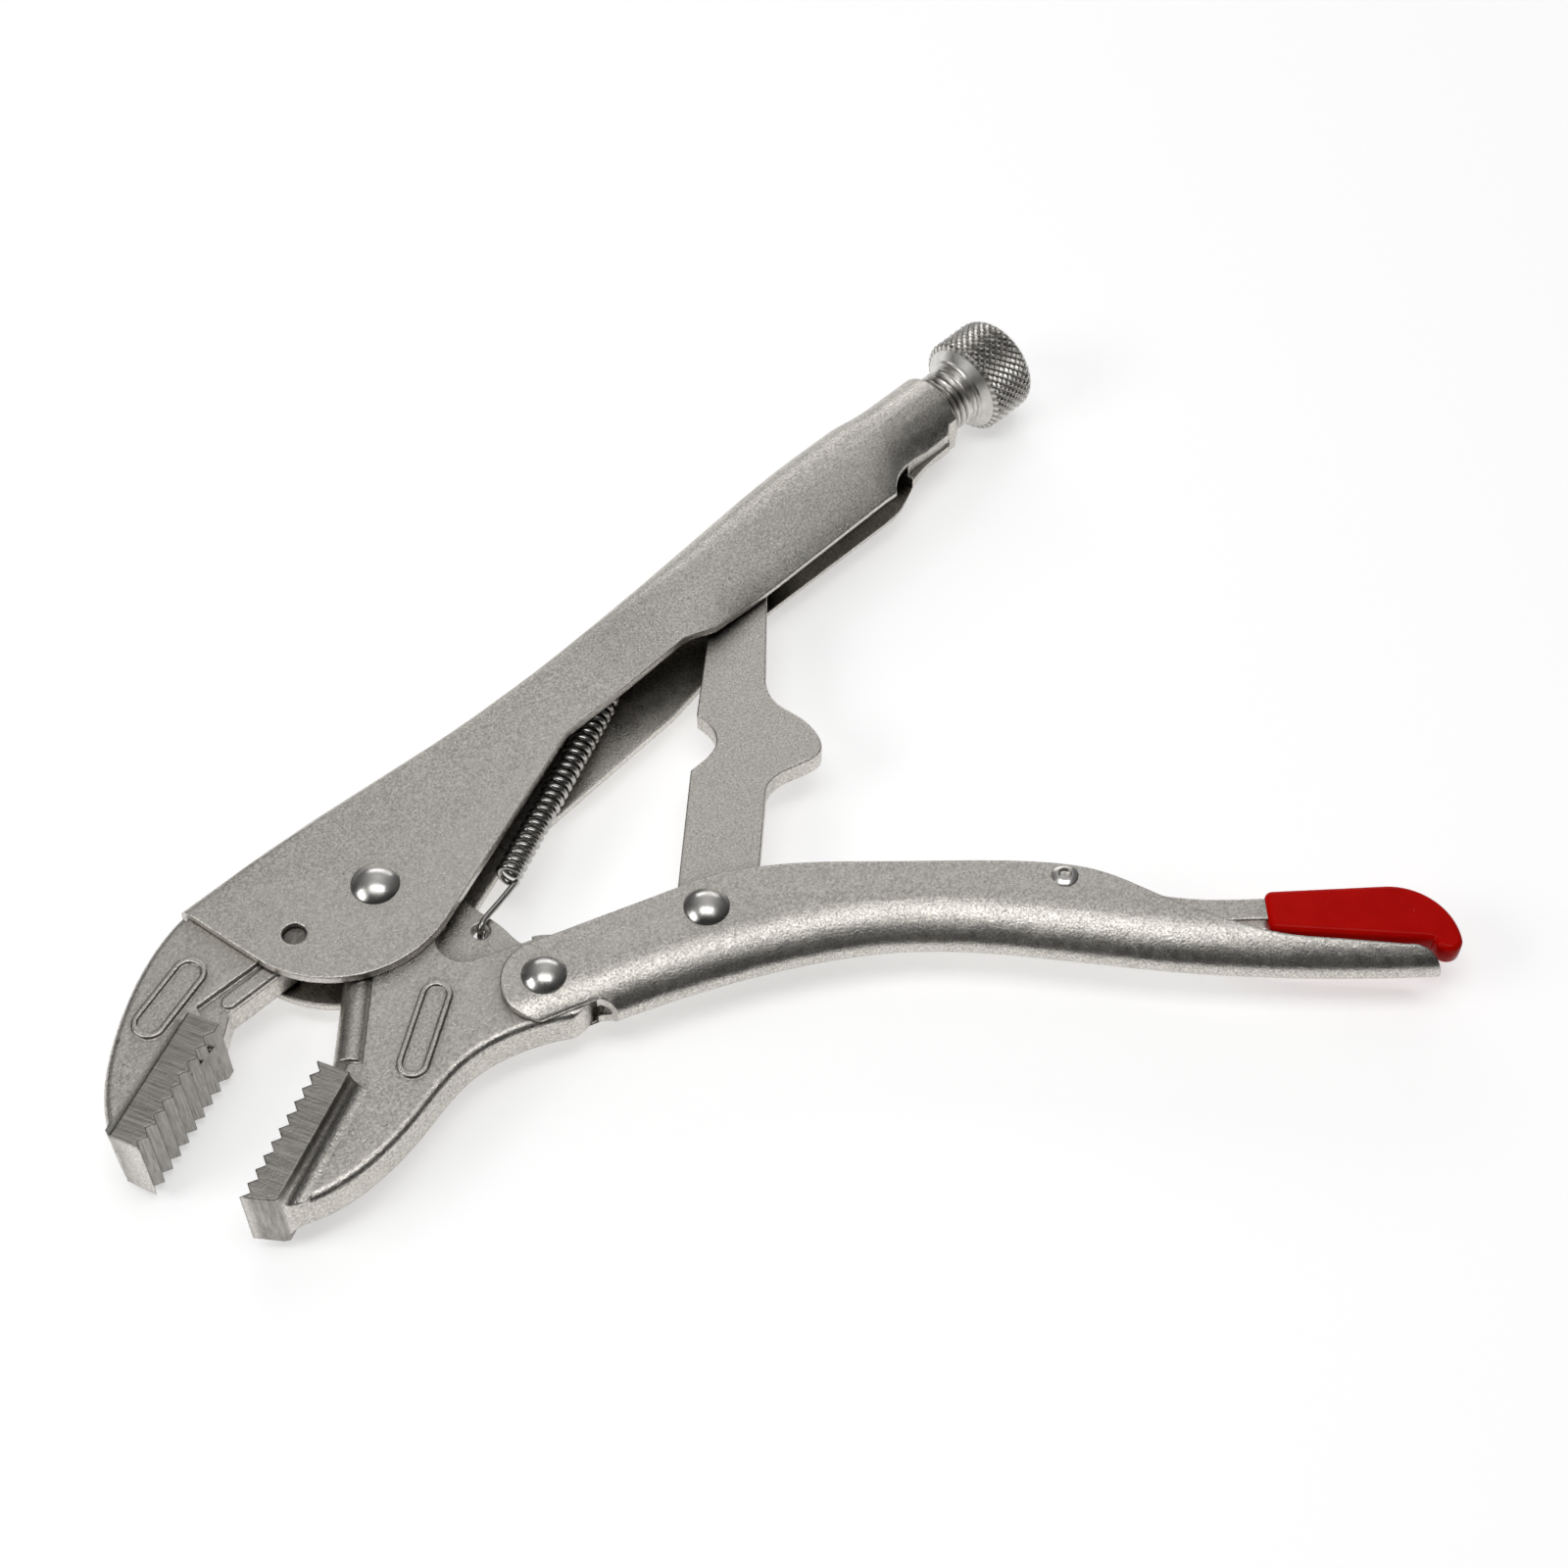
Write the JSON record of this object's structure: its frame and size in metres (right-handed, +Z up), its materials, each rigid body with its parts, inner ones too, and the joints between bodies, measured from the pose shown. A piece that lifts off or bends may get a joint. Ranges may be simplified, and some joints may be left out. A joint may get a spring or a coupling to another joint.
{
  "type": "locking pliers",
  "caption": "Locking pliers with curved toothed jaws, an over-centre toggle link, a knurled adjusting screw, a jaw return spring and a dipped release lever.",
  "frame": {"origin": "on the floor plane under the middle of the pliers' bounding box, with the pliers lying on their side", "axes": "+X along the adjusting screw from the jaws to the knob, +Y from the lever handle towards the fixed handle, +Z up out of the side that faces the viewer"},
  "size_m": [0.2434, 0.1676, 0.0205],
  "materials": {
    "satin_nickel": "satin nickel plate over pressed steel, fine pearl grain",
    "forged_nickel": "satin nickel plate over forged steel, teeth and pad sides ground bright",
    "bright_nickel": "bright nickel plate",
    "spring_wire": "bright drawn spring wire",
    "red_vinyl": "glossy dipped vinyl"
  },
  "bodies": {
    "handle_frame": {"fixed_handle": "satin_nickel", "fixed_jaw": "forged_nickel", "fixed_jaw_pin": "satin_nickel", "jaw_pivot_rivet": "bright_nickel", "jaw_spring": "spring_wire"},
    "lower_jaw": {"movable_jaw": "forged_nickel"},
    "lever": {"lever_handle": "satin_nickel", "lever_pivot_rivet": "bright_nickel", "link_pivot_rivet": "bright_nickel", "release_lever_rivet": "bright_nickel"},
    "link": {"toggle_link": "satin_nickel"},
    "release": {"release_lever": "satin_nickel", "release_lever_grip": "red_vinyl"},
    "screw": {"adjusting_screw": "bright_nickel"}
  },
  "joints": [
    {"name": "jaw_hinge", "type": "hinge", "parent": "handle_frame", "child": "lower_jaw", "pos_m": [-0.05675, 0.0596, 0.01025], "axis": [0, 0, -1], "range_deg": [0, 16], "deforming": ["jaw_spring"]},
    {"name": "lever_hinge", "type": "hinge", "parent": "lower_jaw", "child": "lever", "pos_m": [-0.04785, 0.0243, 0.01025], "axis": [0, 0, 1], "range_deg": [0, 39.2]},
    {"name": "link_hinge", "type": "hinge", "parent": "lever", "child": "link", "pos_m": [-0.01785, 0.0147, 0.01025], "axis": [0, 0, -1], "range_deg": [0, 32.96]},
    {"name": "release_hinge", "type": "hinge", "parent": "lever", "child": "release", "pos_m": [0.03243, -0.02538, 0.01025], "axis": [0, 0, -1], "range_deg": [0, 2]},
    {"name": "screw_slide", "type": "slide", "parent": "handle_frame", "child": "screw", "axis": [1, 0, 0], "range_m": [0, 0.008]}
  ],
  "couplings": [
    {"joint": "lever_hinge", "follows": "jaw_hinge", "ratio": 2.45},
    {"joint": "link_hinge", "follows": "jaw_hinge", "ratio": 2.06}
  ]
}
